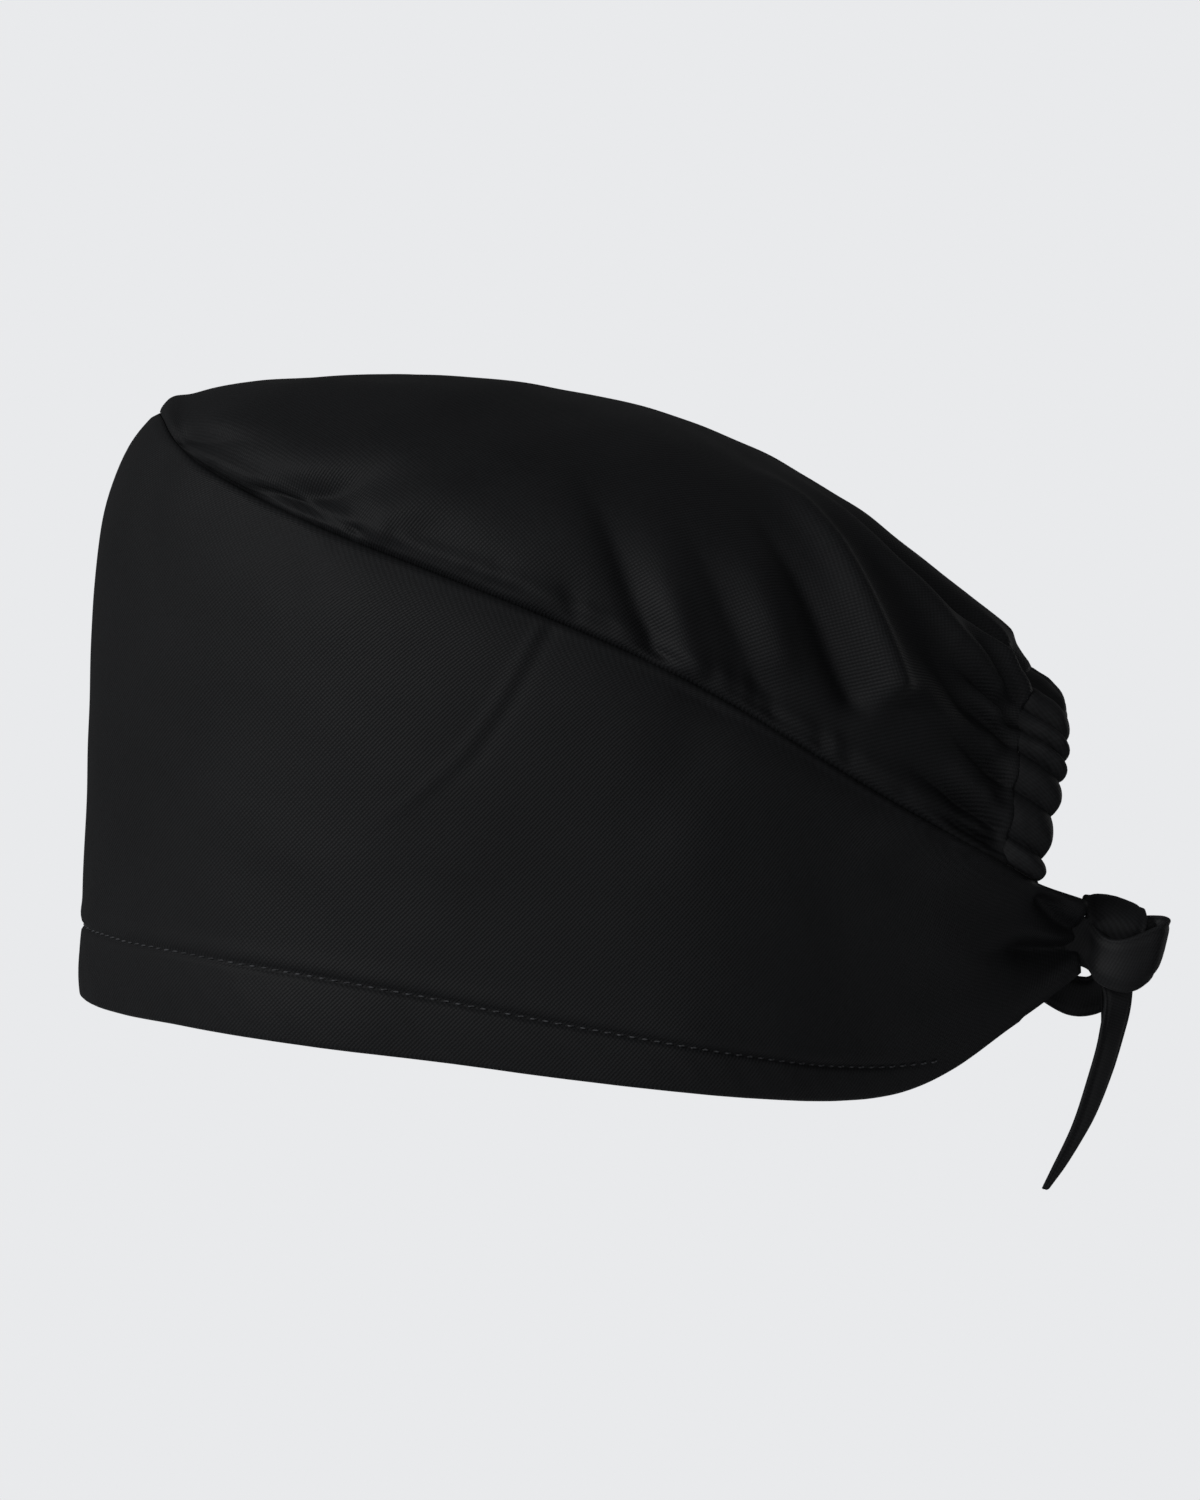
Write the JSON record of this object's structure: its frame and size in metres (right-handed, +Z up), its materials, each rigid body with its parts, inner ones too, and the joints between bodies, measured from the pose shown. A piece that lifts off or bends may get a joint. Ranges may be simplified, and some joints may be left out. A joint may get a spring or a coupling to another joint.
{
  "type": "tie-back scrub cap",
  "caption": "Black woven scrub cap, worn shape: tall hemmed side band, gathered crown, elastic back casing over an open gap, and two flat ties knotted at the nape.",
  "frame": {"origin": "inner face of the crown, where the top of the head bears against it", "axes": "+X towards the back of the head, +Y towards the wearer's right, +Z up"},
  "size_m": [0.2724, 0.1598, 0.204],
  "materials": {
    "band_cloth": "fine black cotton-blend twill, matt",
    "hem_cloth": "the same twill, turned up inside the rim and stitched",
    "crown_cloth": "the same twill, matt, with soft folds",
    "casing_cloth": "the same twill, gathered over a narrow elastic",
    "tie_cloth": "the same twill, folded flat into ties"
  },
  "bodies": {
    "root": {"side_band": "band_cloth", "hem_fold": "hem_cloth", "crown": "crown_cloth", "back_casing": "casing_cloth", "left_tie": "tie_cloth", "right_tie": "tie_cloth"}
  },
  "joints": []
}
